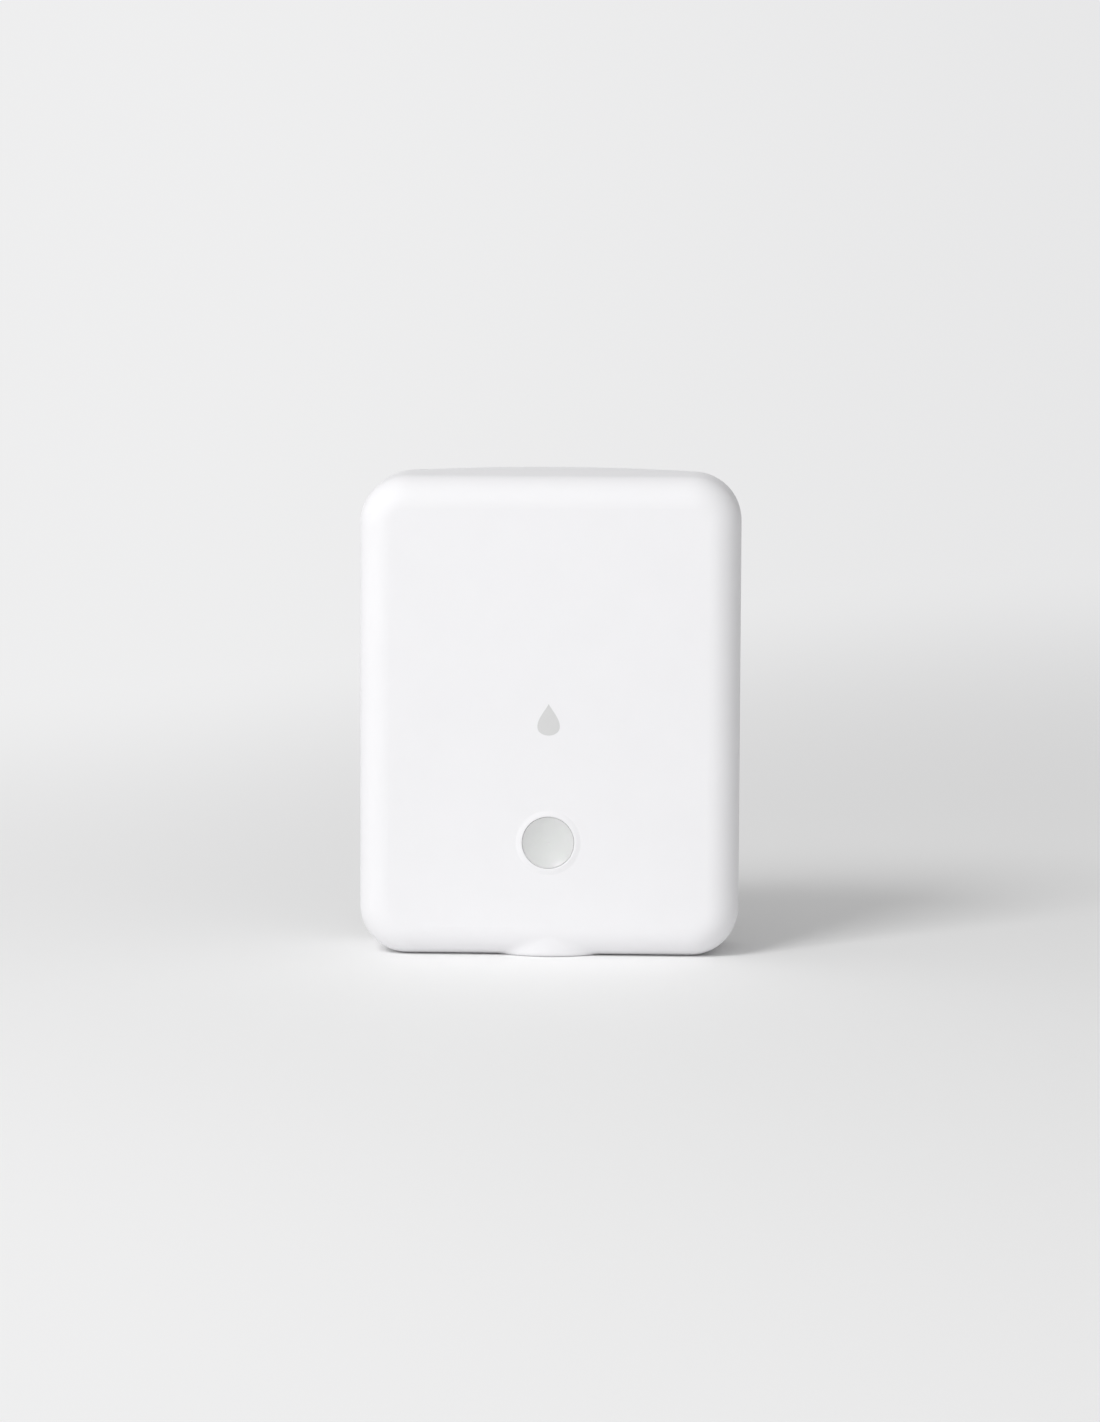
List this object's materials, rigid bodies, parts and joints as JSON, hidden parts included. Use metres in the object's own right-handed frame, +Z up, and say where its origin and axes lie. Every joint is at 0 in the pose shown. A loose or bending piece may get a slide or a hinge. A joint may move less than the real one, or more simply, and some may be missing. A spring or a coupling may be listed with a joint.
{
  "type": "water leak detector",
  "caption": "Battery water leak detector: upright rounded white case with a dished push button, probe studs, a sounder, a lead socket and a lift-off battery door.",
  "frame": {"origin": "on the surface it stands on, under the centre of its bounding box", "axes": "+Z up along its height, -Y out of the front face with the button, +X to the right as seen from the front"},
  "size_m": [0.068, 0.023, 0.0867],
  "materials": {
    "case_white": "fine moulded texture",
    "lens_green": "satin, translucent",
    "silicone_grey": "matt",
    "rubber_black": "matt",
    "foam_grey": "open foam",
    "stainless": "polished",
    "zinc_steel": "zinc plated",
    "nickel": "nickel plated",
    "tin_plate": "tinned",
    "brass": "turned",
    "board_green": "solder mask",
    "chip_black": "moulded epoxy",
    "copper": "enamelled winding",
    "ceramic_tan": "fired",
    "lamp_white": "satin",
    "can_aluminium": "satin",
    "cell_wrap": "printed film",
    "membrane_white": "woven"
  },
  "bodies": {
    "root": {"back_shell": "case_white", "battery_left": "cell_wrap", "battery_right": "cell_wrap", "board_capacitors": "ceramic_tan", "board_resistors": "chip_black", "board_screws": "zinc_steel", "bridge_contact": "nickel", "bulk_capacitor": "can_aluminium", "button_seal": "silicone_grey", "case_gasket": "silicone_grey", "case_screws": "zinc_steel", "circuit_board": "board_green", "contact_springs": "nickel", "control_chip": "chip_black", "crystal": "tin_plate", "front_cover": "case_white", "jack_body": "chip_black", "jack_bush": "nickel", "jack_contacts": "nickel", "negative_contact": "nickel", "port_seal": "silicone_grey", "positive_contact": "nickel", "probe_seals": "rubber_black", "probe_standoffs": "brass", "probe_studs": "stainless", "radio_board": "board_green", "radio_shield": "tin_plate", "sound_gasket": "foam_grey", "sound_membrane": "membrane_white", "sounder_base": "chip_black", "sounder_case": "chip_black", "sounder_coil": "copper", "sounder_diaphragm": "tin_plate", "status_leds": "lamp_white", "switch_body": "chip_black", "switch_dome": "tin_plate", "switch_frame": "tin_plate", "temperature_sensor": "chip_black"},
    "button_body": {"button": "lens_green"},
    "plunger_body": {"switch_plunger": "chip_black"},
    "door_body": {"battery_door": "case_white", "door_gasket": "silicone_grey", "door_pad": "foam_grey"}
  },
  "joints": [
    {"name": "button_press", "type": "slide", "parent": "root", "child": "button_body", "axis": [0, 1, 0], "range_m": [0, 0.00033], "stiffness_N_per_m": 1500},
    {"name": "plunger_press", "type": "slide", "parent": "root", "child": "plunger_body", "axis": [0, 1, 0], "range_m": [0, 0.00025]},
    {"name": "door_lift", "type": "slide", "parent": "root", "child": "door_body", "axis": [0, 1, 0], "range_m": [0, 0.03]}
  ],
  "couplings": [
    {"joint": "plunger_press", "follows": "button_press", "ratio": 0.757}
  ]
}
